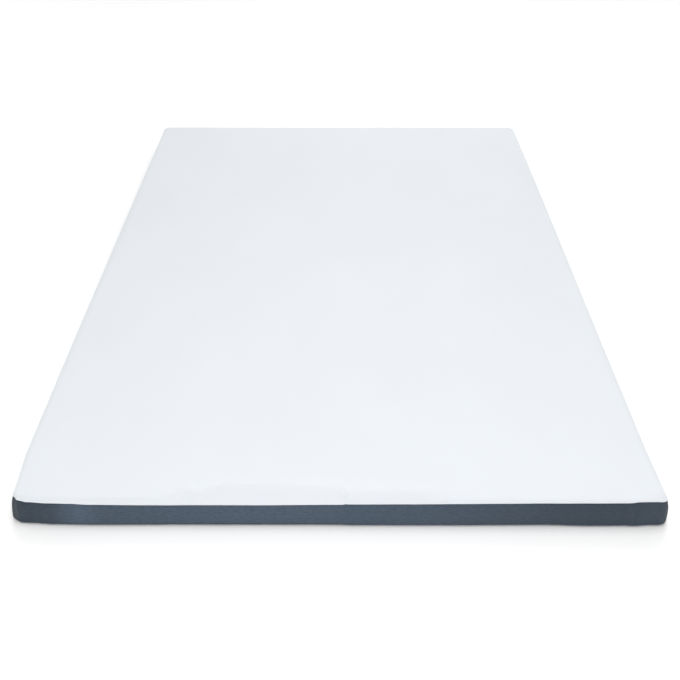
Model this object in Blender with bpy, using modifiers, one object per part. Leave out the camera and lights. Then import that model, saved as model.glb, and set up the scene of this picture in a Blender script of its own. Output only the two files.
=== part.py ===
"""A mattress topper for a 140 x 200 cm bed: a white knit top panel, a slate border round the side,
and the filled pad inside them, whose underside is the plain base cloth.

Metres, +Z up. The origin is at the middle of the flat underside. The short side at -Y is the front.
Every surface is a loft of rows that run round the pad, from the middle of the top, over the rolled
edge, down the border and under the base.
"""

import math
from collections import namedtuple

import bmesh
import bpy

# Driving dimensions
WIDTH = 1.400
LENGTH = 2.000
RIM_HEIGHT = 0.074  # the top face just inside its rolled edge, where the edge doesn't lift it
CROWN = 0.003  # how much higher the middle of the top is
CROWN_RUN = 0.500  # how far in from the edge the crown keeps rising
CORNER_RADIUS = 0.024  # in plan
CLOTH = 0.0020  # the top panel and the border
GAP = 0.0003  # between pieces that touch
SEAM_INSET = 0.0030  # how far the top seam is drawn in behind the swell of the border
HEM_HEIGHT = 0.0022  # the panel stands upright over this much, just above its seam
HEM_SWELL = 0.0008  # and hangs out over the seam by this much
BASE_SEAM_HEIGHT = 0.0065
BASE_SEAM_INSET = 0.0005  # the base seam stands out almost as far as the border's swell
BASE_ROLL = 0.0085  # how far the base curves in before it lies flat

# The rows of the loft
ROLL_ANGLES = (90, 64, 40, 18, 0)  # degrees round the rolled edge, from level to upright
PANEL_INSETS = (WIDTH / 2, 0.450, 0.250, 0.150, 0.080)  # the first is the ridge along the middle
BORDER_DEPTHS = (0.0, 0.16, 0.5, 0.84, 1.0)  # shares of the border's height, from the top
BASE_ANGLES = (0, 35, 65, 90)  # degrees round the base's edge, from upright to level

# The stations round the outline
FRONT_SPACING = 0.052
BACK_SPACING = 0.135
NEAR_CORNER = (0.976, 0.935, 0.885, 0.830, 0.700, 0.500, 0.250)
SIDE_PLACES = tuple(-y for y in NEAR_CORNER) + (0.0,) + NEAR_CORNER[::-1]
GATHER_PLACES = (-2.4, -1.1, 0.0, 1.1, 2.4)  # across each gather, in its half widths
CORNER_STEPS = 5

# How the sewn edge varies along each side. "at" is X on the front and the back, and Y on the
# left and the right. "seam" is the height of the seam between the panel and the border, "rim" is
# how high the panel stands above that at the edge, "roll" is how wide it rolls over, "out" is how
# far the edge stands outside its line, which dies away inwards over the corner radius, and "foot"
# is how much further out the base stands, because the foam spreads at its lower corners. The
# tables that meet at a corner give the same seam and rim together, because the top face has one
# height there.
Edge = namedtuple("Edge", "at seam rim roll out foot")
FRONT_EDGE = (
    Edge(at=-0.676, seam=0.0652, rim=0.0098, roll=0.018, out=-0.0105, foot=0.0055),
    Edge(at=-0.658, seam=0.0614, rim=0.0135, roll=0.017, out=-0.0082, foot=0.0046),
    Edge(at=-0.610, seam=0.0627, rim=0.0121, roll=0.015, out=-0.0031, foot=0.0030),
    Edge(at=-0.565, seam=0.0632, rim=0.0113, roll=0.014, out=-0.0014, foot=0.0022),
    Edge(at=-0.525, seam=0.0612, rim=0.0131, roll=0.014, out=-0.0004, foot=0.0020),
    Edge(at=-0.384, seam=0.0606, rim=0.0134, roll=0.015, out=0.0000, foot=0.0010),
    Edge(at=-0.352, seam=0.0606, rim=0.0134, roll=0.019, out=0.0000, foot=0.0006),
    Edge(at=-0.322, seam=0.0611, rim=0.0129, roll=0.032, out=0.0002, foot=0.0003),
    Edge(at=-0.292, seam=0.0616, rim=0.0124, roll=0.024, out=0.0004, foot=0.0000),
    Edge(at=-0.262, seam=0.0617, rim=0.0124, roll=0.042, out=0.0005, foot=-0.0001),
    Edge(at=-0.170, seam=0.0615, rim=0.0127, roll=0.045, out=0.0005, foot=-0.0003),
    Edge(at=0.004, seam=0.0634, rim=0.0112, roll=0.037, out=0.0005, foot=-0.0003),
    Edge(at=0.020, seam=0.0644, rim=0.0104, roll=0.026, out=0.0008, foot=0.0002),
    Edge(at=0.036, seam=0.0651, rim=0.0099, roll=0.024, out=0.0010, foot=0.0005),
    Edge(at=0.085, seam=0.0654, rim=0.0097, roll=0.028, out=0.0010, foot=0.0005),
    Edge(at=0.160, seam=0.0657, rim=0.0095, roll=0.027, out=0.0010, foot=0.0005),
    Edge(at=0.270, seam=0.0670, rim=0.0083, roll=0.016, out=0.0010, foot=0.0003),
    Edge(at=0.450, seam=0.0692, rim=0.0062, roll=0.014, out=0.0010, foot=-0.0010),
    Edge(at=0.540, seam=0.0693, rim=0.0062, roll=0.014, out=0.0010, foot=0.0016),
    Edge(at=0.618, seam=0.0698, rim=0.0059, roll=0.014, out=0.0010, foot=0.0008),
    Edge(at=0.641, seam=0.0728, rim=0.0047, roll=0.014, out=0.0005, foot=0.0022),
    Edge(at=0.676, seam=0.0730, rim=0.0050, roll=0.015, out=0.0000, foot=-0.0002),
)
RIGHT_EDGE = (
    Edge(at=-0.976, seam=0.0705, rim=0.0075, roll=0.015, out=0.0034, foot=0.0112),
    Edge(at=-0.935, seam=0.0682, rim=0.0080, roll=0.016, out=0.0030, foot=0.0070),
    Edge(at=-0.830, seam=0.0665, rim=0.0080, roll=0.017, out=0.0010, foot=0.0015),
    Edge(at=-0.400, seam=0.0655, rim=0.0085, roll=0.018, out=0.0010, foot=0.0000),
    Edge(at=0.300, seam=0.0662, rim=0.0080, roll=0.016, out=0.0010, foot=0.0000),
    Edge(at=0.830, seam=0.0655, rim=0.0085, roll=0.016, out=0.0000, foot=0.0010),
    Edge(at=0.976, seam=0.0655, rim=0.0085, roll=0.016, out=-0.0010, foot=0.0060),
)
BACK_EDGE = (
    Edge(at=0.676, seam=0.0658, rim=0.0082, roll=0.016, out=0.0000, foot=0.0030),
    Edge(at=0.590, seam=0.0660, rim=0.0082, roll=0.016, out=0.0010, foot=0.0000),
    Edge(at=0.250, seam=0.0670, rim=0.0075, roll=0.020, out=0.0020, foot=0.0000),
    Edge(at=-0.300, seam=0.0652, rim=0.0088, roll=0.017, out=0.0010, foot=0.0000),
    Edge(at=-0.590, seam=0.0660, rim=0.0080, roll=0.016, out=0.0010, foot=0.0000),
    Edge(at=-0.676, seam=0.0660, rim=0.0080, roll=0.016, out=0.0000, foot=0.0030),
)
LEFT_EDGE = (
    Edge(at=0.976, seam=0.0660, rim=0.0080, roll=0.016, out=0.0020, foot=0.0095),
    Edge(at=0.935, seam=0.0657, rim=0.0082, roll=0.016, out=0.0015, foot=0.0065),
    Edge(at=0.830, seam=0.0655, rim=0.0085, roll=0.017, out=0.0010, foot=0.0015),
    Edge(at=0.350, seam=0.0652, rim=0.0088, roll=0.019, out=0.0020, foot=0.0000),
    Edge(at=-0.400, seam=0.0660, rim=0.0080, roll=0.017, out=0.0020, foot=0.0000),
    Edge(at=-0.830, seam=0.0655, rim=0.0090, roll=0.016, out=0.0005, foot=0.0010),
    Edge(at=-0.976, seam=0.0676, rim=0.0074, roll=0.018, out=-0.0102, foot=0.0135),
)
CORNER_SWELLS = (0.0046, 0.0, 0.0, -0.0033)  # how much each corner fills out, from the front right one
FOOT_RISE = 0.7  # the foot is spread up the border as this power of the depth below the seam
LIFT_FADE = 0.250  # how far in from the edge its unevenness in height dies away

# Where the front seam gathers the panel: the middle, the half width along the seam, how far
# the gather runs back over the top, and its depth.
Pucker = namedtuple("Pucker", "x half_width run depth")
PUCKERS = (
    Pucker(x=-0.322, half_width=0.012, run=0.026, depth=0.0015),
    Pucker(x=0.021, half_width=0.0075, run=0.036, depth=0.0036),
)

# A station of the outline: its corner of the straight-sided core, the direction that faces out
# there, and its values of the edge. Round a corner, the side that faces X keeps its spread in X,
# and the one that faces Y in Y.
Station = namedtuple("Station", "core_x core_y out_x out_y edge x_edge y_edge")

WHITE_KNIT = ("white_knit", (0.85, 0.89, 0.93), 0.85)
SLATE_CLOTH = ("slate_cloth", (0.075, 0.105, 0.135), 0.9)
BASE_CLOTH = ("base_cloth", (0.06, 0.08, 0.10), 0.95)


def mix(start, end, share):
    return start + (end - start) * share


def blend_edges(start, end, share):
    """The edge between two rows of a table, eased so that no row shows as a kink."""
    eased = share * share * (3 - 2 * share)
    return Edge(*(mix(a, b, eased) for a, b in zip(start, end)))


def edge_at(table, at):
    rows = sorted(table)
    at = min(max(at, rows[0].at), rows[-1].at)
    for start, end in zip(rows, rows[1:]):
        if at <= end.at:
            return blend_edges(start, end, (at - start.at) / (end.at - start.at))


def spaced(half, spacing):
    """Places from -half to half, evenly apart and no wider than the spacing."""
    steps = math.ceil(2 * half / spacing)
    return [mix(-half, half, step / steps) for step in range(steps + 1)]


def front_places(half):
    """Even places, and closer ones where the seam gathers and where it steps up near the right."""
    close = [pucker.x + pucker.half_width * share for pucker in PUCKERS for share in GATHER_PLACES]
    close += [row.at for row in FRONT_EDGE[-3:-1]]
    even = [x for x in spaced(half, FRONT_SPACING) if min(abs(x - c) for c in close) > FRONT_SPACING / 4]
    return sorted(set(close + even + [-half, half]))


def outline_stations():
    """The stations round the outline, anticlockwise from the left end of the front."""
    core_x = WIDTH / 2 - CORNER_RADIUS
    core_y = LENGTH / 2 - CORNER_RADIUS
    sides = (
        (FRONT_EDGE, [(x, -core_y) for x in front_places(core_x)], -90),
        (RIGHT_EDGE, [(core_x, y) for y in SIDE_PLACES], 0),
        (BACK_EDGE, [(x, core_y) for x in reversed(spaced(core_x, BACK_SPACING))], 90),
        (LEFT_EDGE, [(-core_x, y) for y in reversed(SIDE_PLACES)], 180),
    )
    stations = []
    for side, (table, places, facing) in enumerate(sides):
        facing = math.radians(facing)
        along_x = side % 2 == 0
        for x, y in places:
            edge = edge_at(table, x if along_x else y)
            out_x, out_y = math.cos(facing), math.sin(facing)
            stations.append(Station(x / core_x, y / core_y, out_x, out_y, edge, edge, edge))
        end = stations[-1]
        next_table, next_places, _ = sides[(side + 1) % len(sides)]
        next_x, next_y = next_places[0]
        next_edge = edge_at(next_table, next_y if along_x else next_x)
        for step in range(1, CORNER_STEPS):
            angle = facing + math.radians(90) * step / CORNER_STEPS
            edge = blend_edges(end.edge, next_edge, step / CORNER_STEPS)
            swell = CORNER_SWELLS[side] * math.sin(math.pi * step / CORNER_STEPS) ** 2
            ends = [kept._replace(out=kept.out + swell) for kept in (end.edge, next_edge)]
            y_edge, x_edge = ends if along_x else reversed(ends)
            out_x, out_y = math.cos(angle), math.sin(angle)
            stations.append(Station(end.core_x, end.core_y, out_x, out_y, edge, x_edge, y_edge))
    return stations


def point(station, inset, height, foot=0.0):
    """The point of a station that lies that far inside the outline, at that height. foot is how
    far down towards the base it is, from 0 to 1."""
    radius = max(CORNER_RADIUS - inset, 0.0)
    reach_x, reach_y = (
        radius * (1 + edge.out / CORNER_RADIUS) + edge.foot * foot
        for edge in (station.x_edge, station.y_edge)
    )
    x = station.core_x * (WIDTH / 2 - inset - radius) + station.out_x * reach_x
    y = station.core_y * (LENGTH / 2 - inset - radius) + station.out_y * reach_y
    return (x, y, height)


def gather(station, inset):
    """How deep the front seam's gathers dent the panel there."""
    faces_front = station.out_y == -1.0
    if not faces_front:
        return 0.0
    x = station.core_x * (WIDTH / 2 - CORNER_RADIUS)
    return sum(
        pucker.depth
        * math.exp(-(((x - pucker.x) / pucker.half_width) ** 2))
        * max(1 - inset / pucker.run, 0.0)
        for pucker in PUCKERS
    )


def panel_row(inset):
    """A row of the panel's open face, which rises towards the middle."""
    height = RIM_HEIGHT + CROWN * math.sin(math.pi / 2 * min(inset / CROWN_RUN, 1.0))
    fade = max(1 - inset / LIFT_FADE, 0.0) ** 2

    def place(station):
        lift = station.edge.seam + station.edge.rim - RIM_HEIGHT
        return point(station, inset, height + lift * fade)

    return place


def hem_row(lift):
    """The panel's last row, in the seam. lift keeps it clear of the border."""

    def place(station):
        inset = SEAM_INSET + gather(station, SEAM_INSET) / 2
        return point(station, inset, station.edge.seam + lift)

    return place


def roll_row(degrees):
    """A row of the panel's rolled edge, from the top face down to the upright hem."""
    angle = math.radians(degrees)

    def place(station):
        edge = station.edge
        inset = SEAM_INSET - HEM_SWELL + edge.roll * (1 - math.cos(angle))
        height = edge.seam + mix(HEM_HEIGHT, edge.rim, math.sin(angle))
        dent = gather(station, inset)
        return point(station, inset + dent / 2, height - dent * math.sin(angle))

    return place


def border_row(share, lift=0.0):
    """A row of the border, which swells out between its two seams."""

    def place(station):
        drawn_in = SEAM_INSET if share < 0.5 else BASE_SEAM_INSET
        inset = drawn_in * (1 - math.sin(math.pi * share))
        dent = gather(station, inset) * (1 - share)
        height = mix(station.edge.seam, BASE_SEAM_HEIGHT, share) + lift
        return point(station, inset + dent / 2, height, foot=share**FOOT_RISE)

    return place


def base_row(degrees):
    """A row of the base, from its seam down and in to where it lies flat."""
    angle = math.radians(degrees)
    inset = BASE_SEAM_INSET + BASE_ROLL * (1 - math.cos(angle))
    height = BASE_SEAM_HEIGHT * (1 - math.sin(angle))
    return lambda station: point(station, inset, height, foot=1.0)


def start_loft(stations, row):
    """The mesh with one closed row of edges, and those edges."""
    mesh = bmesh.new()
    number = mesh.verts.layers.int.new("station")
    verts = []
    for index, station in enumerate(stations):
        vert = mesh.verts.new(row(station))
        vert[number] = index
        verts.append(vert)
    edges = [mesh.edges.new((a, b)) for a, b in zip(verts, verts[1:] + verts[:1])]
    return mesh, edges


def add_row(mesh, edges, stations, row):
    """Extrudes the last row of edges and puts the new one in its place."""
    number = mesh.verts.layers.int["station"]
    made = bmesh.ops.extrude_edge_only(mesh, edges=edges)["geom"]
    for item in made:
        if isinstance(item, bmesh.types.BMVert):
            item.co = row(stations[item[number]])
    return [item for item in made if isinstance(item, bmesh.types.BMEdge)]


def loft(stations, rows):
    mesh, edges = start_loft(stations, rows[0])
    for row in rows[1:]:
        edges = add_row(mesh, edges, stations, row)
    return mesh, edges


def close_ridge(mesh):
    """Joins the two sides of the first row, which meet along the middle of the top."""
    bmesh.ops.remove_doubles(mesh, verts=mesh.verts[:], dist=GAP / 10)


def material(name, colour, roughness):
    made = bpy.data.materials.new(name)
    made.use_nodes = True
    shader = made.node_tree.nodes["Principled BSDF"]
    shader.inputs["Base Color"].default_value = (*colour, 1.0)
    shader.inputs["Roughness"].default_value = roughness
    made.diffuse_color = (*colour, 1.0)
    return made


def add_object(name, mesh, finish, collection):
    """The named object of that mesh, in its cloth's material."""
    data = bpy.data.meshes.new(name)
    mesh.to_mesh(data)
    mesh.free()
    data.materials.append(material(*finish))
    data.shade_smooth()
    made = bpy.data.objects.new(name, data)
    collection.objects.link(made)
    return made


def thicken(sheet):
    """Gives an open surface the cloth's thickness, on its inner side."""
    solidify = sheet.modifiers.new("cloth", "SOLIDIFY")
    solidify.thickness = CLOTH
    solidify.offset = -1.0
    solidify.use_even_offset = True


def open_face_rows():
    return [panel_row(inset) for inset in PANEL_INSETS]


def add_top_panel(stations, collection):
    rows = open_face_rows() + [roll_row(angle) for angle in ROLL_ANGLES] + [hem_row(lift=GAP / 2)]
    mesh, _ = loft(stations, rows)
    close_ridge(mesh)
    thicken(add_object("top_panel", mesh, WHITE_KNIT, collection))


def add_border(stations, collection):
    rows = [border_row(BORDER_DEPTHS[0], lift=-GAP / 2)]
    rows += [border_row(share) for share in BORDER_DEPTHS[1:-1]]
    rows.append(border_row(BORDER_DEPTHS[-1], lift=GAP))
    mesh, _ = loft(stations, rows)
    thicken(add_object("border", mesh, SLATE_CLOTH, collection))


def add_filled_pad(stations, collection):
    """The skin's own rows, sunk under the cloth, and then the base, which is on the outside."""
    rows = open_face_rows() + [roll_row(angle) for angle in ROLL_ANGLES]
    rows += [border_row(share) for share in BORDER_DEPTHS]
    mesh, edges = loft(stations, rows)
    close_ridge(mesh)
    mesh.normal_update()
    sunk = {vert: vert.normal * vert.calc_shell_factor() for vert in mesh.verts}
    for vert, inward in sunk.items():
        vert.co -= inward * (CLOTH + GAP)
    for angle in BASE_ANGLES:
        edges = add_row(mesh, edges, stations, base_row(angle))
    bmesh.ops.contextual_create(mesh, geom=edges)
    add_object("filled_pad", mesh, BASE_CLOTH, collection)


def main():
    for old in list(bpy.data.objects):
        bpy.data.objects.remove(old)
    collection = bpy.data.collections.new("mattress_topper")
    bpy.context.scene.collection.children.link(collection)
    stations = outline_stations()
    add_top_panel(stations, collection)
    add_border(stations, collection)
    add_filled_pad(stations, collection)


main()
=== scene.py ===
"""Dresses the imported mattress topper: the white knit top panel, the slate border and the foam pad
in its base cloth, on a pale floor in soft studio light.

Metres, +Z up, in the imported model's own frame. The short side at -Y is the front. Each cloth is
made of profiles, one at every station round the outline, which run from the top face over the
rolled edge and down the border, as the solids do, but finer.
"""

import math
from collections import namedtuple

import bmesh
import bpy
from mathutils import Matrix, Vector, noise

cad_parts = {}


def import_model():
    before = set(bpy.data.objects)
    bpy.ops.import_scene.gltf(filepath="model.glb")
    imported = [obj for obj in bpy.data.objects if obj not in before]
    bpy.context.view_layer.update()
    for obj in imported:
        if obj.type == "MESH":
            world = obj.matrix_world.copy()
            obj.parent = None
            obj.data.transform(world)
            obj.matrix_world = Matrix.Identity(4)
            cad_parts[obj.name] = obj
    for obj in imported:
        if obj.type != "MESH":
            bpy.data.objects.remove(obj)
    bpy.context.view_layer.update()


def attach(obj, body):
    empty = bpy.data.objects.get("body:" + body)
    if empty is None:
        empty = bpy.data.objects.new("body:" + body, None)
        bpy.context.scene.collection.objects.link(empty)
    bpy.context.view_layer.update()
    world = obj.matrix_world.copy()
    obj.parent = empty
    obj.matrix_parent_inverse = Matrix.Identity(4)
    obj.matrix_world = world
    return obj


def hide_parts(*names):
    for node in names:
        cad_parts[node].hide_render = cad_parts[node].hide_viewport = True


# Driving dimensions, as in the solids
WIDTH = 1.400
LENGTH = 2.000
RIM_HEIGHT = 0.074  # the top face just inside its rolled edge, where the edge doesn't lift it
CROWN = 0.003  # how much higher the middle of the top is
CROWN_RUN = 0.500  # how far in from the edge the crown keeps rising
CORNER_RADIUS = 0.024  # in plan
SEAM_INSET = 0.0030  # how far the top seam is drawn in behind the swell of the border
HEM_HEIGHT = 0.0022  # the panel stands upright over this much, just above its seam
HEM_SWELL = 0.0008  # and hangs out over the seam by this much
BASE_SEAM_HEIGHT = 0.0065
BASE_SEAM_INSET = 0.0005  # the base seam stands out almost as far as the border's swell
BASE_ROLL = 0.0085  # how far the base curves in before it lies flat
FOOT_RISE = 0.7  # the foot is spread up the border as this power of the depth below the seam
LIFT_FADE = 0.250  # how far in from the edge its unevenness in height dies away
CORNER_SWELLS = (0.0046, 0.0, 0.0, -0.0033)  # how far out each corner fills, from the front right

# The cloth of the finer pieces
CLOTH = 0.0010  # a knit of this weight, with its soft backing
PAD_DEPTH = 0.0023  # the pad lies this far under the face of the cloth
FLOOR_GAP = 0.0004  # keeps the floor off the base cloth

# Where the stations and the rows of faces lie
COLUMN_SPACING = 0.0085  # along the short sides
ROW_SPACING = 0.0140  # along the long sides
CLOSE_SPACING = 0.0020  # where the front seam gathers
CLOSE_STEPS = 9  # of that, to each side of a gather's middle
JOIN_STEPS = 2  # of the join's half width, to each side of its middle
CORNER_STEPS = 9
FRAME_INSET = 0.062  # the top face is a plain grid inside this
SHOULDER_SHARES = (0.0, 0.25, 0.5, 0.75)  # of the way from there to the rolled edge
BORDER_SHARES = (0.05, 0.10, 0.17, 0.26, 0.38, 0.50, 0.62, 0.74, 0.83, 0.90, 0.95)  # of its height
BASE_ANGLES = (15, 30, 45, 60, 75, 90)  # degrees round the base's edge, from upright to level
MERGE_DISTANCE = 0.00001  # points of two grids that are this close are one

# The rolled edge, from the upright hem to where the top face starts. A taut edge is a quarter of
# an ellipse, to that angle. A slack one slopes, and has come that share of the way in and up.
Roll = namedtuple("Roll", "angle slack_in slack_up")
ROLL_ROWS = (
    Roll(0, 0.000, 0.00),
    Roll(7, 0.006, 0.05),
    Roll(15, 0.020, 0.09),
    Roll(24, 0.060, 0.15),
    Roll(34, 0.140, 0.23),
    Roll(45, 0.260, 0.34),
    Roll(56, 0.420, 0.50),
    Roll(67, 0.600, 0.69),
    Roll(78, 0.800, 0.88),
    Roll(90, 1.000, 1.00),
)
TAUT_ROLL = 0.016  # an edge that rolls over in this much is taut
SLACK_ROLL = 0.030  # and in this much, slack
SLACK_RIDGE = 0.0030  # how much higher the low ridge along the inner end of a slack slope stands
RIDGE_WIDTH = 0.020  # and how far in it dies away

# Where the two cloths turn in at the seam: how far in from the seam's inset, and how far above or
# below the seam.
PANEL_TURN = ((-0.00075, 0.0015), (-0.0004, 0.0008), (0.0004, 0.00035), (0.0018, 0.0002))
BORDER_TURN = ((0.0018, -0.0002), (0.0005, -0.00045), (-0.0001, -0.0010))
BORDER_HEM = ((0.0001, 0.0008), (0.0004, 0.00035), (0.0017, 0.0002))  # at the base seam
BASE_TURN = ((0.0019, -0.0002), (0.0004, -0.00035), (0.0001, -0.0009))

# How the sewn edge varies along each side. "at" is X on the front and the back, and Y on the
# left and the right. "seam" is the height of the seam between the panel and the border, "rim" is
# how high the panel stands above that at the edge, "roll" is how wide it rolls over, "out" is how
# far the edge stands outside its line, which dies away inwards over the corner radius, and "foot"
# is how much further out the base stands, because the foam spreads at its lower corners.
Edge = namedtuple("Edge", "at seam rim roll out foot")
FRONT_EDGE = (
    Edge(at=-0.676, seam=0.0652, rim=0.0098, roll=0.018, out=-0.0105, foot=0.0055),
    Edge(at=-0.658, seam=0.0614, rim=0.0135, roll=0.017, out=-0.0082, foot=0.0046),
    Edge(at=-0.610, seam=0.0627, rim=0.0121, roll=0.015, out=-0.0031, foot=0.0030),
    Edge(at=-0.565, seam=0.0632, rim=0.0113, roll=0.014, out=-0.0014, foot=0.0022),
    Edge(at=-0.525, seam=0.0612, rim=0.0131, roll=0.014, out=-0.0004, foot=0.0020),
    Edge(at=-0.384, seam=0.0606, rim=0.0134, roll=0.015, out=0.0000, foot=0.0010),
    Edge(at=-0.352, seam=0.0606, rim=0.0134, roll=0.019, out=0.0000, foot=0.0006),
    Edge(at=-0.322, seam=0.0611, rim=0.0129, roll=0.032, out=0.0002, foot=0.0003),
    Edge(at=-0.292, seam=0.0616, rim=0.0124, roll=0.024, out=0.0004, foot=0.0000),
    Edge(at=-0.262, seam=0.0617, rim=0.0124, roll=0.042, out=0.0005, foot=-0.0001),
    Edge(at=-0.170, seam=0.0615, rim=0.0127, roll=0.045, out=0.0005, foot=-0.0003),
    Edge(at=0.004, seam=0.0634, rim=0.0112, roll=0.037, out=0.0005, foot=-0.0003),
    Edge(at=0.020, seam=0.0644, rim=0.0104, roll=0.026, out=0.0008, foot=0.0002),
    Edge(at=0.036, seam=0.0651, rim=0.0099, roll=0.024, out=0.0010, foot=0.0005),
    Edge(at=0.085, seam=0.0654, rim=0.0097, roll=0.028, out=0.0010, foot=0.0005),
    Edge(at=0.160, seam=0.0657, rim=0.0095, roll=0.027, out=0.0010, foot=0.0005),
    Edge(at=0.270, seam=0.0670, rim=0.0083, roll=0.016, out=0.0010, foot=0.0003),
    Edge(at=0.450, seam=0.0692, rim=0.0062, roll=0.014, out=0.0010, foot=-0.0010),
    Edge(at=0.540, seam=0.0693, rim=0.0062, roll=0.014, out=0.0010, foot=0.0016),
    Edge(at=0.618, seam=0.0698, rim=0.0059, roll=0.014, out=0.0010, foot=0.0008),
    Edge(at=0.641, seam=0.0728, rim=0.0047, roll=0.014, out=0.0005, foot=0.0022),
    Edge(at=0.676, seam=0.0730, rim=0.0050, roll=0.015, out=0.0000, foot=-0.0002),
)
RIGHT_EDGE = (
    Edge(at=-0.976, seam=0.0705, rim=0.0075, roll=0.015, out=0.0034, foot=0.0112),
    Edge(at=-0.935, seam=0.0682, rim=0.0080, roll=0.016, out=0.0030, foot=0.0070),
    Edge(at=-0.830, seam=0.0665, rim=0.0080, roll=0.017, out=0.0010, foot=0.0015),
    Edge(at=-0.400, seam=0.0655, rim=0.0085, roll=0.018, out=0.0010, foot=0.0000),
    Edge(at=0.300, seam=0.0662, rim=0.0080, roll=0.016, out=0.0010, foot=0.0000),
    Edge(at=0.830, seam=0.0655, rim=0.0085, roll=0.016, out=0.0000, foot=0.0010),
    Edge(at=0.976, seam=0.0655, rim=0.0085, roll=0.016, out=-0.0010, foot=0.0060),
)
BACK_EDGE = (
    Edge(at=-0.676, seam=0.0660, rim=0.0080, roll=0.016, out=0.0000, foot=0.0030),
    Edge(at=-0.590, seam=0.0660, rim=0.0080, roll=0.016, out=0.0010, foot=0.0000),
    Edge(at=-0.300, seam=0.0652, rim=0.0088, roll=0.017, out=0.0010, foot=0.0000),
    Edge(at=0.250, seam=0.0670, rim=0.0075, roll=0.020, out=0.0020, foot=0.0000),
    Edge(at=0.590, seam=0.0660, rim=0.0082, roll=0.016, out=0.0010, foot=0.0000),
    Edge(at=0.676, seam=0.0658, rim=0.0082, roll=0.016, out=0.0000, foot=0.0030),
)
LEFT_EDGE = (
    Edge(at=-0.976, seam=0.0676, rim=0.0074, roll=0.018, out=-0.0102, foot=0.0135),
    Edge(at=-0.830, seam=0.0655, rim=0.0090, roll=0.016, out=0.0005, foot=0.0010),
    Edge(at=-0.400, seam=0.0660, rim=0.0080, roll=0.017, out=0.0020, foot=0.0000),
    Edge(at=0.350, seam=0.0652, rim=0.0088, roll=0.019, out=0.0020, foot=0.0000),
    Edge(at=0.830, seam=0.0655, rim=0.0085, roll=0.017, out=0.0010, foot=0.0015),
    Edge(at=0.935, seam=0.0657, rim=0.0082, roll=0.016, out=0.0015, foot=0.0065),
    Edge(at=0.976, seam=0.0660, rim=0.0080, roll=0.016, out=0.0020, foot=0.0095),
)
FRONT, RIGHT, BACK, LEFT = range(4)
EDGES = (FRONT_EDGE, RIGHT_EDGE, BACK_EDGE, LEFT_EDGE)

# The small unevenness of hand-fed sewing: how far the seam wanders, and over what length
SEAM_WANDER = 0.0003
WANDER_LENGTH = 0.060
CALM_RUN = 0.050  # it dies away over this much before a corner
TOP_WANDER = 0.0004  # and of foam and cloth across the top face
TOP_WANDER_SIZE = Vector((0.21, 0.30))
TOP_CALM = 0.080  # it dies away over this much before the rolled edge
SIDE_WEIGHT = 0.001  # a side counts for the most within this of its own rolled edge

# The layers of noise that the seam, the top and the dye are read from, so that none follows another
SEAM_LAYER = 0.5
SEAM_STEP = 9.1  # from one side's line in its layer to the next
TOP_LAYER = 3.7
DYE_LAYER = 5.3

# Where a seam gathers its panel: the side, the middle along it, the half width, how far the
# gather runs back over the top, its depth, and how much of that the fold to its left stands up.
Gather = namedtuple("Gather", "side at half_width run depth fold")
GATHER_PULL = 0.15  # how far a gather pulls its seam in, as a share of its depth
GATHER_SHARPNESS = 2.0  # a gather fades as this power of the way back to its end
FOLD_PLACE = 1.8  # the fold stands this many half widths to the left of the gather's middle
GATHERS = (
    Gather(side=FRONT, at=-0.322, half_width=0.012, run=0.026, depth=0.0015, fold=0.1),
    Gather(side=FRONT, at=0.0210, half_width=0.0040, run=0.038, depth=0.0090, fold=0.30),
)

# The border is one strip, and its ends are joined by an upright seam near the front right corner.
JOIN_AT = 0.636
JOIN_DEPTH = 0.0007
JOIN_HALF_WIDTH = 0.0014

# How light the border's colour is made along the front, by X. This is painted light and shade:
# lighter left of the middle, darker towards both corners and the right. On the other sides the dye
# has a mean and drifts about it, and the painted shade comes to that over a run from each front
# corner.
PAINTED_SHADES = (
    (-0.700, 0.52), (-0.640, 0.58), (-0.605, 0.69), (-0.575, 0.98), (-0.547, 1.18), (-0.500, 0.94),
    (-0.400, 0.98), (-0.200, 1.08), (-0.060, 1.08), (0.060, 1.00), (0.200, 0.96), (0.300, 0.85),
    (0.380, 0.79), (0.470, 0.67), (0.560, 0.62), (0.630, 0.60), (0.655, 0.66), (0.700, 0.64),
)
SHADE_MEAN = 0.95
SHADE_DRIFT = 0.16
SHADE_RUN = 0.400

# A station of the outline: its side, or None on a corner, where along that it is, its place on the
# straight-sided core, from -1 to 1 each way, the direction that faces out there, and its values of
# the edge. Round a corner, the spread in X is that of the side that faces X, and the spread in Y
# that of the side that faces Y.
Station = namedtuple("Station", "side at core_x core_y out_x out_y edge x_edge y_edge")

# The camera stands on the photograph's viewpoint
CAMERA_PLACE = (0.0107, -2.1997, 1.4000)
CAMERA_TILT = 36.856  # degrees down
CAMERA_TURN = 0.124  # degrees to the left
CAMERA_LENS = 44.22  # mm
CAMERA_SENSOR = 36.0  # mm wide
SUN_SPREAD = math.radians(50)  # wide, so that the shadows are soft


def mix(start, end, share):
    return start + (end - start) * share


def within(value, low=0.0, high=1.0):
    return min(max(value, low), high)


def edge_at(side, at):
    """The edge of that side there, between two rows of its table, with the seam's own wander."""
    rows = EDGES[side]
    at = within(at, rows[0].at, rows[-1].at)
    above = next(number for number in range(1, len(rows)) if at <= rows[number].at)
    start, end = rows[above - 1], rows[above]
    share = (at - start.at) / (end.at - start.at)
    edge = blend_edges(start, end, share)
    calm = within((rows[-1].at - abs(at)) / CALM_RUN)
    place = Vector((at / WANDER_LENGTH, SEAM_STEP * side, SEAM_LAYER))
    wander = SEAM_WANDER * calm * noise.noise(place)
    return edge._replace(seam=edge.seam + wander, rim=edge.rim - wander)


def blend_edges(start, end, share):
    """The edge between two others, eased so that neither shows as a kink."""
    eased = share * share * (3 - 2 * share)
    return Edge(*(mix(a, b, eased) for a, b in zip(start, end)))


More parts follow.
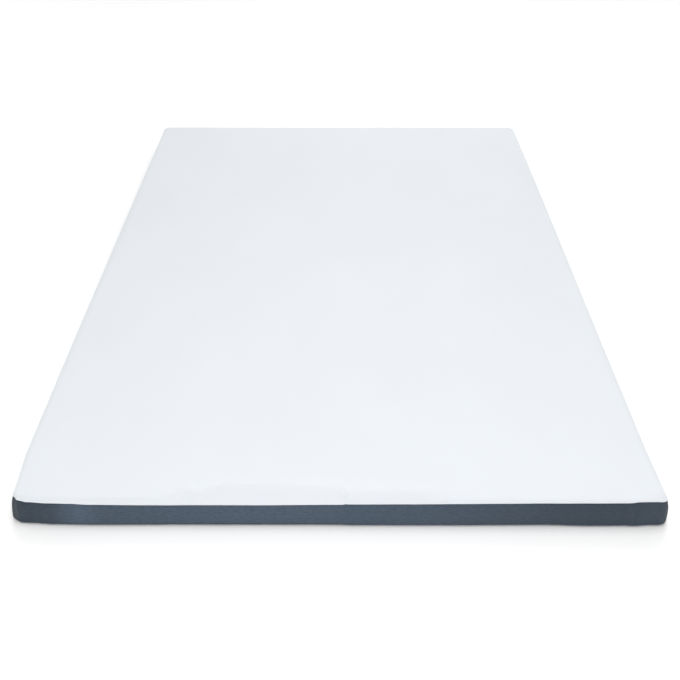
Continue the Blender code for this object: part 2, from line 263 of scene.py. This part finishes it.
def spaced(half, spacing, close=()):
    """Places from -half to half, evenly apart but for the close ones, which come instead."""
    steps = math.ceil(2 * half / spacing)
    even = [mix(-half, half, step / steps) for step in range(steps + 1)]
    clear = [x for x in even if all(abs(x - c) > CLOSE_SPACING / 2 for c in close)]
    return sorted(set(clear) | set(close) | {-half, half})


def column_places(half):
    """X of the stations on the short sides, close together at the gathers and the join."""
    close = []
    for gather in GATHERS:
        steps = range(-CLOSE_STEPS, CLOSE_STEPS + 1)
        close += [gather.at + CLOSE_SPACING * step for step in steps]
    close += [JOIN_AT + JOIN_HALF_WIDTH * step for step in range(-JOIN_STEPS, JOIN_STEPS + 1)]
    return spaced(half, COLUMN_SPACING, close)


def outline_stations(columns, rows):
    """The stations round the outline, anticlockwise from the left end of the front."""
    core_x, core_y = columns[-1], rows[-1]
    sides = (
        (FRONT, [(x, -core_y) for x in columns], -90),
        (RIGHT, [(core_x, y) for y in rows], 0),
        (BACK, [(x, core_y) for x in reversed(columns)], 90),
        (LEFT, [(-core_x, y) for y in reversed(rows)], 180),
    )
    stations = []
    for side, places, facing in sides:
        facing = math.radians(facing)
        along_x = side in (FRONT, BACK)
        for x, y in places:
            at = x if along_x else y
            core = (x / core_x, y / core_y)
            out = (math.cos(facing), math.sin(facing))
            edge = edge_at(side, at)
            stations.append(Station(side, at, *core, *out, edge, edge, edge))
        end = stations[-1]
        next_side, next_places, _ = sides[(side + 1) % len(sides)]
        next_x, next_y = next_places[0]
        next_edge = edge_at(next_side, next_y if along_x else next_x)
        for step in range(1, CORNER_STEPS):
            angle = facing + math.radians(90) * step / CORNER_STEPS
            edge = blend_edges(end.edge, next_edge, step / CORNER_STEPS)
            swell = CORNER_SWELLS[side] * math.sin(math.pi * step / CORNER_STEPS) ** 2
            ends = [kept._replace(out=kept.out + swell) for kept in (end.edge, next_edge)]
            y_edge, x_edge = ends if along_x else reversed(ends)
            core = (end.core_x, end.core_y)
            out = (math.cos(angle), math.sin(angle))
            stations.append(Station(None, end.at, *core, *out, edge, x_edge, y_edge))
    return stations


def point(station, inset, height, foot=0.0):
    """The point of a station that lies that far inside the outline, at that height. foot is how
    far down towards the base it is, from 0 to 1."""
    radius = max(CORNER_RADIUS - inset, 0.0)
    reach_x, reach_y = (
        radius * (1 + edge.out / CORNER_RADIUS) + edge.foot * foot
        for edge in (station.x_edge, station.y_edge)
    )
    x = station.core_x * (WIDTH / 2 - inset - radius) + station.out_x * reach_x
    y = station.core_y * (LENGTH / 2 - inset - radius) + station.out_y * reach_y
    return Vector((x, y, height))


def roll_end(edge):
    """How far in the rolled edge ends and the top face starts."""
    return SEAM_INSET - HEM_SWELL + edge.roll


def slackness(edge):
    """From 0 for a taut edge to 1 for a slack one."""
    return within((edge.roll - TAUT_ROLL) / (SLACK_ROLL - TAUT_ROLL))


def top_height(x, y):
    """The height of the top face. Each side's own lift reaches in from its rolled edge, and the
    nearer side counts for more."""
    crown = calm = 1.0
    lift = weight = 0.0
    for side, at, distance in (
        (FRONT, x, LENGTH / 2 + y),
        (RIGHT, y, WIDTH / 2 - x),
        (BACK, x, LENGTH / 2 - y),
        (LEFT, y, WIDTH / 2 + x),
    ):
        edge = edge_at(side, at)
        inner = max(distance - roll_end(edge), 0.0)
        ridge = SLACK_RIDGE * slackness(edge) * math.exp(-((inner / RIDGE_WIDTH) ** 2))
        side_lift = (edge.seam + edge.rim - RIM_HEIGHT) * max(1 - inner / LIFT_FADE, 0.0) ** 2
        nearness = 1 / (inner + SIDE_WEIGHT) ** 2
        lift += nearness * (side_lift + ridge)
        weight += nearness
        crown *= math.sin(math.pi / 2 * min(inner / CROWN_RUN, 1.0))
        calm *= within(inner / TOP_CALM)
    place = Vector((x / TOP_WANDER_SIZE.x, y / TOP_WANDER_SIZE.y, TOP_LAYER))
    wander = TOP_WANDER * calm * noise.noise(place)
    return RIM_HEIGHT + CROWN * crown + lift / weight + wander


def gather_dent(station, inset):
    """How deep the seam's gathers dent the panel there. A fold stands up on one side of each."""
    dent = 0.0
    for gather in GATHERS:
        if station.side == gather.side:
            across = (station.at - gather.at) / gather.half_width
            fold = gather.fold * math.exp(-((across + FOLD_PLACE) ** 2))
            shape = math.exp(-(across**2)) - fold
            dent += gather.depth * shape * within(1 - inset / gather.run) ** GATHER_SHARPNESS
    return dent


def join_dent(station):
    """How deep the border's upright join is sewn in there."""
    if station.side != FRONT:
        return 0.0
    return JOIN_DEPTH * math.exp(-(((station.at - JOIN_AT) / JOIN_HALF_WIDTH) ** 2))


def panel_profile(station):
    """The top panel from the edge of its grid, over the roll and down to where it turns in at the
    seam: how far in each spot lies, its height and its share of the foot."""
    edge = station.edge
    profile = []
    for share in SHOULDER_SHARES:
        inset = mix(FRAME_INSET, roll_end(edge), share)
        x, y, _ = point(station, inset, 0.0)
        profile.append((inset, top_height(x, y) - gather_dent(station, inset), 0.0))
    slack = slackness(edge)
    for roll in reversed(ROLL_ROWS):
        angle = math.radians(roll.angle)
        inset = roll_end(edge) - edge.roll * mix(math.cos(angle), 1 - roll.slack_in, slack)
        rise = mix(math.sin(angle), roll.slack_up, slack)
        dent = gather_dent(station, inset)
        height = edge.seam + mix(HEM_HEIGHT, edge.rim + SLACK_RIDGE * slack, rise)
        profile.append((inset + dent * GATHER_PULL, height - dent * rise, 0.0))
    dent = gather_dent(station, SEAM_INSET) * GATHER_PULL
    for further_in, above in PANEL_TURN:
        profile.append((SEAM_INSET + further_in + dent, edge.seam + above, 0.0))
    return profile


def painted_shade_and_dye(station):
    """How light the border's colour is made there: painted light and shade on the front, which at
    the corners runs into the drift of its dye on the other sides.
    """
    if station.side == FRONT:
        reach, x = 0.0, station.at
    else:
        reach = within((station.core_y + 1) * LENGTH / 2 / SHADE_RUN)
        x = PAINTED_SHADES[-1][0] if station.core_x > 0 else PAINTED_SHADES[0][0]
    above = next(number for number in range(1, len(PAINTED_SHADES)) if x <= PAINTED_SHADES[number][0])
    (start, low), (end, high) = PAINTED_SHADES[above - 1], PAINTED_SHADES[above]
    # The front's painted light and shade, from the table
    front_shade = mix(low, high, (x - start) / (end - start))
    place = Vector((station.core_x * WIDTH / 2, station.core_y * LENGTH / 2, DYE_LAYER))
    drift = SHADE_DRIFT * noise.noise(place / SHADE_RUN)
    return mix(front_shade, SHADE_MEAN + drift, reach)


def border_spot(station, share):
    """A spot of the border, that share of the way down. It swells out between its two seams."""
    drawn_in = SEAM_INSET if share < 0.5 else BASE_SEAM_INSET
    inset = drawn_in * (1 - math.sin(math.pi * share))
    dent = gather_dent(station, inset) * (1 - share)
    height = mix(station.edge.seam, BASE_SEAM_HEIGHT, share)
    return (inset + dent * GATHER_PULL + join_dent(station), height, share**FOOT_RISE)


def border_profile(station):
    """The border from where it turns in at the top seam down to where it does at the base seam."""
    dent = gather_dent(station, SEAM_INSET) * GATHER_PULL
    profile = []
    for further_in, above in BORDER_TURN:
        profile.append((SEAM_INSET + further_in + dent, station.edge.seam + above, 0.0))
    profile += [border_spot(station, share) for share in BORDER_SHARES]
    for further_in, above in BORDER_HEM:
        profile.append((BASE_SEAM_INSET + further_in, BASE_SEAM_HEIGHT + above, 1.0))
    return profile


def sunk(profile, depth):
    """The same profile that far under the face, square to it."""
    under = []
    for number, (inset, height, foot) in enumerate(profile):
        before = profile[max(number - 1, 0)]
        after = profile[min(number + 1, len(profile) - 1)]
        run, drop = after[0] - before[0], after[1] - before[1]
        length = math.hypot(run, drop)
        under.append((inset - drop / length * depth, height + run / length * depth, foot))
    return under


def pad_profile(station):
    """The pad under both cloths, and then the base cloth, from its seam down to where it is flat."""
    panel = panel_profile(station)[: -len(PANEL_TURN)]
    border = [border_spot(station, share) for share in BORDER_SHARES]
    profile = sunk(panel + border, PAD_DEPTH)
    for further_in, above in BASE_TURN:
        profile.append((BASE_SEAM_INSET + further_in, BASE_SEAM_HEIGHT + above, 1.0))
    for degrees in BASE_ANGLES:
        angle = math.radians(degrees)
        inset = BASE_SEAM_INSET + BASE_ROLL * (1 - math.cos(angle))
        profile.append((inset, BASE_SEAM_HEIGHT * (1 - math.sin(angle)), 1.0))
    return profile


def lengths_along(points):
    """The distance to each point from the first, along the cloth."""
    lengths = [0.0]
    for start, end in zip(points, points[1:]):
        lengths.append(lengths[-1] + (end - start).length)
    return lengths


class Cloth:
    """A mesh in the making, whose faces come in grids. Its map is in metres of the flat cloth,
    from_seam is each point's distance from the nearest seam, and shade is how light its colour
    is made, with painted light and shade along the border's front."""

    def __init__(self):
        self.mesh = bmesh.new()
        self.map = self.mesh.loops.layers.uv.new("flat_cloth")
        self.from_seam = self.mesh.verts.layers.float.new("from_seam")
        self.shade = self.mesh.verts.layers.float.new("shade")

    def add_grid(self, spots, shades=None):
        """Faces over lists of equal length, whose items are (place, spot on the map, distance
        from the seam). Each list has one shade."""
        verts = []
        for line, shade in zip(spots, shades or [1.0] * len(spots)):
            made = []
            for place, _, distance in line:
                vert = self.mesh.verts.new(place)
                vert[self.from_seam] = distance
                vert[self.shade] = shade
                made.append(vert)
            verts.append(made)
        for i in range(len(spots) - 1):
            for j in range(len(spots[i]) - 1):
                corners = ((i, j), (i, j + 1), (i + 1, j + 1), (i + 1, j))
                face = self.mesh.faces.new([verts[a][b] for a, b in corners])
                for loop, (a, b) in zip(face.loops, corners):
                    loop[self.map].uv = spots[a][b][1]

    def join_grids(self):
        """Makes one point of those that the edges of two grids share."""
        verts = self.mesh.verts[:]
        bmesh.ops.remove_doubles(self.mesh, verts=verts, dist=MERGE_DISTANCE)

    def close_base(self):
        """One face over the opening of the base, once the grids are joined."""
        self.join_grids()
        edges = [edge for edge in self.mesh.edges if edge.is_boundary]
        bmesh.ops.contextual_create(self.mesh, geom=edges)

    def finish(self, name, material):
        """The named object, with its grids joined."""
        self.join_grids()
        data = bpy.data.meshes.new(name)
        self.mesh.to_mesh(data)
        self.mesh.free()
        data.materials.append(material)
        data.shade_smooth()
        made = bpy.data.objects.new(name, data)
        bpy.context.scene.collection.objects.link(made)
        return made


def add_face_grid(cloth, columns, rows, sink=0.0):
    """The plain grid of the top face, inside the profiles. Its rows run from the back, so that
    its faces point up."""
    half_x = WIDTH / 2 - FRAME_INSET
    half_y = LENGTH / 2 - FRAME_INSET
    spots = []
    for x in columns:
        line = []
        for y in reversed(rows):
            flat = (x / columns[-1] * half_x, y / rows[-1] * half_y)
            line.append((Vector((*flat, top_height(*flat) - sink)), flat, FRAME_INSET))
        spots.append(line)
    cloth.add_grid(spots)


def add_panel_band(cloth, stations):
    """The panel's edge all round. Its map runs straight out from the grid's edge."""
    spots = []
    for station in stations + stations[:1]:
        points = [point(station, *spot) for spot in panel_profile(station)]
        lengths = lengths_along(points)
        line = []
        for place, length in zip(points, lengths):
            flat = (points[0].x + station.out_x * length, points[0].y + station.out_y * length)
            line.append((place, flat, abs(lengths[-2] - length)))
        spots.append(line)
    cloth.add_grid(spots)


def add_border_band(cloth, stations):
    """The border from its join and round to it. Its map has the way round, and the depth."""
    spots = []
    around = 0.0
    last = None
    for station in stations + stations[:1]:
        points = [point(station, *spot) for spot in border_profile(station)]
        middle = points[len(points) // 2]
        if last:
            around += (middle - last).length
        last = middle
        lengths = lengths_along(points)
        line = []
        for place, length in zip(points, lengths):
            line.append((place, (around, -length), min(length, lengths[-1] - length)))
        spots.append(line)
    # The border's lightness at each station: painted light and shade on the front, dye drift
    # elsewhere
    cloth.add_grid(spots, [painted_shade_and_dye(station) for station in stations + stations[:1]])


def add_pad_band(cloth, stations):
    """The pad's edge all round, and the base's edge under it."""
    spots = []
    for station in stations + stations[:1]:
        places = [point(station, *spot) for spot in pad_profile(station)]
        spots.append([(place, place.xy, 0.0) for place in places])
    cloth.add_grid(spots)


def thicken(sheet):
    """Gives a sheet the thickness of its cloth, inwards from its face."""
    solidify = sheet.modifiers.new("cloth", "SOLIDIFY")
    solidify.thickness = CLOTH
    solidify.offset = -1.0


# ---------------------------------------------------------------------------- materials


def linear(hex_colour):
    """The linear colour of an sRGB hex colour, with full alpha."""
    channels = [int(hex_colour[start : start + 2], 16) / 255 for start in (1, 3, 5)]
    return (*(c / 12.92 if c <= 0.04045 else ((c + 0.055) / 1.055) ** 2.4 for c in channels), 1.0)


def add(tree, kind, sockets=None, **settings):
    """Adds a node with its settings. Each of its sockets is linked to another node's output, or
    else set to a value."""
    node = tree.nodes.new(kind)
    for name, value in settings.items():
        setattr(node, name, value)
    for name, value in (sockets or {}).items():
        if isinstance(value, bpy.types.NodeSocket):
            tree.links.new(value, node.inputs[name])
        else:
            node.inputs[name].default_value = value
    return node


def new_material(name, finish):
    """A material, its tree and its shader, which has that finish and is linked to the output."""
    material = bpy.data.materials.new(name)
    material.use_nodes = True
    material.node_tree.nodes.clear()
    tree = material.node_tree
    shader = add(tree, "ShaderNodeBsdfPrincipled", finish)
    add(tree, "ShaderNodeOutputMaterial", {"Surface": shader.outputs[0]})
    return material, tree, shader


def worked_out(tree, operation, *values):
    """The result of one step of arithmetic on those values."""
    return add(tree, "ShaderNodeMath", dict(enumerate(values)), operation=operation).outputs[0]


def unevenness(tree, place, per_metre, detail):
    """A noise with that many spots to the metre, one number for each way of the cloth's map."""
    spread = {0: place, 1: (*per_metre, 1.0)}
    stretched = add(tree, "ShaderNodeVectorMath", spread, operation="MULTIPLY").outputs[0]
    sockets = {"Vector": stretched, "Scale": 1.0, "Detail": detail}
    return add(tree, "ShaderNodeTexNoise", sockets).outputs[0]


def tone_between(tree, share, low, high):
    """The colour that share of the way between two sRGB tones."""
    sockets = {0: share, 6: linear(low), 7: linear(high)}
    return add(tree, "ShaderNodeMix", sockets, data_type="RGBA").outputs[2]


def sewn_relief(tree, cloth, pucker, pattern):
    """The normal of a sewn cloth, with the pattern of its loops over the puckers of its seams. Each
    of the two is the strength and the depth of a bump, and the pattern's height comes with it."""
    strength, depth = pucker
    sockets = {"Strength": strength, "Distance": depth, "Height": seam_puckers(tree, cloth)}
    puckered = add(tree, "ShaderNodeBump", sockets).outputs[0]
    strength, depth, height = pattern
    sockets = {"Strength": strength, "Distance": depth, "Height": height, "Normal": puckered}
    return add(tree, "ShaderNodeBump", sockets).outputs[0]


def seam_puckers(tree, cloth):
    """The height of the small puckers that the stitches draw in both cloths. They are about 9 mm
    apart, and a centimetre from the seam they are down to about a third."""
    per_metre = (110.0, 110.0)
    left_by_centimetre = 0.36
    distance = add(tree, "ShaderNodeAttribute", attribute_name="from_seam").outputs["Fac"]
    centimetres = worked_out(tree, "MULTIPLY", distance, 100.0)
    near = worked_out(tree, "POWER", left_by_centimetre, centimetres)
    return worked_out(tree, "MULTIPLY", unevenness(tree, cloth, per_metre, 1.0), near)


def white_double_jersey():
    """Double jersey of microfibre polyester with elastane, circular knitted and left white. Its
    fine even loops are matt, and its soft fibre ends brighten a little at a glancing view."""
    finish = {
        "Roughness": 0.9,
        "Specular IOR Level": 0.25,
        "Sheen Weight": 0.08,
        "Sheen Roughness": 0.5,
    }
    material, tree, shader = new_material("white_double_jersey", finish)
    wale = 0.0026  # the real wales are 0.9 mm apart, too fine to show at this size
    course = 0.0022  # and the real courses 0.7 mm
    clouds_per_metre = (4.0, 3.0)  # faint clouds of a white that is never quite even
    cloth = add(tree, "ShaderNodeUVMap", uv_map="flat_cloth").outputs[0]
    split = add(tree, "ShaderNodeSeparateXYZ", {0: cloth})
    slant = worked_out(tree, "PINGPONG", split.outputs["X"], wale / 2)
    leg = worked_out(tree, "ADD", split.outputs["Y"], slant)
    loops = worked_out(tree, "SINE", worked_out(tree, "MULTIPLY", leg, math.tau / course))
    clouds = unevenness(tree, cloth, clouds_per_metre, 3.0)
    tone = tone_between(tree, clouds, "#D4D7DB", "#D8DCE0")
    tree.links.new(tone, shader.inputs["Base Color"])
    normal = sewn_relief(tree, cloth, (0.5, 0.0010), (0.35, 0.00025, loops))
    tree.links.new(normal, shader.inputs["Normal"])
    return material


def slate_warp_knit():
    """Warp-knitted polyester, dyed slate in the yarn. Lighter and darker yarns give it a dull
    mottle along the strip, and its flat filaments leave it matt."""
    finish = {
        "Roughness": 0.85,
        "Specular IOR Level": 0.3,
        "Sheen Weight": 0.1,
    }
    material, tree, shader = new_material("slate_warp_knit", finish)
    rib = 0.0026  # the real ribs are 1.2 mm apart, too fine to show at this size
    flecks_per_metre = (90.0, 260.0)  # 11 mm along the strip and 4 mm up it
    cloth = add(tree, "ShaderNodeUVMap", uv_map="flat_cloth").outputs[0]
    split = add(tree, "ShaderNodeSeparateXYZ", {0: cloth})
    phase = worked_out(tree, "MULTIPLY", split.outputs["Y"], math.tau / rib)
    ribs = worked_out(tree, "SINE", phase)
    yarns = unevenness(tree, cloth, flecks_per_metre, 4.0)
    tone = tone_between(tree, yarns, "#2C3844", "#4D5B6B")
    # The shade attribute scales the colour: painted light and shade along the front, the dye's drift
    # elsewhere
    shade = add(tree, "ShaderNodeAttribute", attribute_name="shade").outputs["Fac"]
    tone_with_painted_shade = add(tree, "ShaderNodeVectorMath", {0: tone, "Scale": shade}, operation="SCALE")
    tree.links.new(tone_with_painted_shade.outputs[0], shader.inputs["Base Color"])
    normal = sewn_relief(tree, cloth, (0.6, 0.0012), (0.5, 0.0003, ribs))
    tree.links.new(normal, shader.inputs["Normal"])
    return material


def dark_base_twill():
    """Plain dark twill on the underside, which is hidden when the topper lies down. Matt."""
    finish = {"Roughness": 0.95, "Specular IOR Level": 0.2}
    material, tree, shader = new_material("dark_base_twill", finish)
    flecks_per_metre = 220.0  # 4.5 mm, as the yarns themselves are too fine to show
    place = add(tree, "ShaderNodeTexCoord").outputs["Object"]
    sockets = {"Vector": place, "Scale": flecks_per_metre, "Detail": 3.0}
    yarns = add(tree, "ShaderNodeTexNoise", sockets).outputs[0]
    tone = tone_between(tree, yarns, "#3A444E", "#4A545E")
    tree.links.new(tone, shader.inputs["Base Color"])
    return material


def white_painted_board():
    """The floor. Matt white paint, which takes the light evenly."""
    finish = {
        "Base Color": linear("#FDFDFD"),
        "Roughness": 0.9,
        "Specular IOR Level": 0.1,
    }
    material, _, _ = new_material("white_painted_board", finish)
    return material


# ---------------------------------------------------------------------------- pieces


def declare(piece, node):
    """Hides the solid that the piece stands in for, and makes the piece part of the one rigid body.
    """
    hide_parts(node)
    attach(piece, "root")


def add_top_panel(columns, rows, stations):
    cloth = Cloth()
    add_face_grid(cloth, columns, rows)
    add_panel_band(cloth, stations)
    panel = cloth.finish("knit_top", white_double_jersey())
    thicken(panel)
    declare(panel, "top_panel")
    return panel


def add_border(stations):
    on_front = [number for number, station in enumerate(stations) if station.side == FRONT]
    first = min(on_front, key=lambda number: abs(stations[number].at - JOIN_AT))
    cloth = Cloth()
    add_border_band(cloth, stations[first:] + stations[:first])
    border = cloth.finish("slate_border", slate_warp_knit())
    thicken(border)
    declare(border, "border")
    return border


def add_pad(columns, rows, stations):
    cloth = Cloth()
    add_face_grid(cloth, columns, rows, sink=PAD_DEPTH)
    add_pad_band(cloth, stations)
    cloth.close_base()
    pad = cloth.finish("foam_pad", dark_base_twill())
    declare(pad, "filled_pad")
    return pad


def add_floor():
    bpy.ops.mesh.primitive_plane_add(size=60.0, location=(0.0, 0.0, -FLOOR_GAP))
    floor = bpy.context.active_object
    floor.name = "floor"
    floor.data.materials.append(white_painted_board())


def add_light(name, kind, place, aim, power):
    """A light that faces the aim and isn't seen itself."""
    light = bpy.data.lights.new(name, kind)
    light.energy = power
    holder = bpy.data.objects.new(name, light)
    holder.location = place
    holder.rotation_euler = (Vector(aim) - Vector(place)).to_track_quat("-Z", "Y").to_euler()
    holder.visible_camera = False
    bpy.context.scene.collection.objects.link(holder)
    return light


def add_softbox(name, place, aim, size, power):
    light = add_light(name, "AREA", place, aim, power)
    light.shape = "DISK"
    light.size = size


def add_studio():
    scene = bpy.context.scene
    scene.view_settings.view_transform = "Standard"
    world = bpy.data.worlds.new("studio")
    world.use_nodes = True
    background = world.node_tree.nodes["Background"]
    background.inputs["Color"].default_value = linear("#FFFFFF")
    background.inputs["Strength"].default_value = 0.42
    scene.world = world
    ceiling = add_light("ceiling", "SUN", (0.0, 0.1, 1.0), (0.0, 0.0, 0.0), power=0.60)
    ceiling.angle = SUN_SPREAD
    behind = add_light("behind", "SUN", (0.0, 1.7, 1.0), (0.0, 0.0, 0.0), power=1.42)
    behind.angle = SUN_SPREAD
    add_softbox("overhead", (0.2, -0.9, 2.6), (0.1, -0.6, 0.0), size=1.6, power=23.0)
    add_softbox("back_wall", (0.5, 2.6, 1.6), (0.1, -0.4, 0.0), size=2.0, power=19.0)
    # The far corners of the floor, which the other lights reach least
    for x in (-2.4, 2.4):
        corner = (x, 3.0)
        add_softbox("far_floor", (*corner, 1.4), (*corner, 0.0), size=1.0, power=3.0)
    add_softbox("front_left", (-0.9, -2.6, 0.5), (-0.3, -1.0, 0.04), size=0.8, power=9.6)
    add_softbox("front_right", (0.6, -2.6, 0.6), (0.4, -1.1, 0.0), size=0.8, power=7.0)


def add_camera():
    data = bpy.data.cameras.new("camera")
    data.lens = CAMERA_LENS
    data.sensor_width = CAMERA_SENSOR
    camera = bpy.data.objects.new("camera", data)
    camera.location = CAMERA_PLACE
    camera.rotation_euler = (math.radians(90 - CAMERA_TILT), 0.0, math.radians(CAMERA_TURN))
    bpy.context.scene.collection.objects.link(camera)
    bpy.context.scene.camera = camera


def main():
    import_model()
    columns = column_places(WIDTH / 2 - CORNER_RADIUS)
    rows = spaced(LENGTH / 2 - CORNER_RADIUS, ROW_SPACING)
    stations = outline_stations(columns, rows)
    pad = add_pad(columns, rows, stations)
    panel = add_top_panel(columns, rows, stations)
    border = add_border(stations)
    add_floor()
    add_studio()
    add_camera()


main()
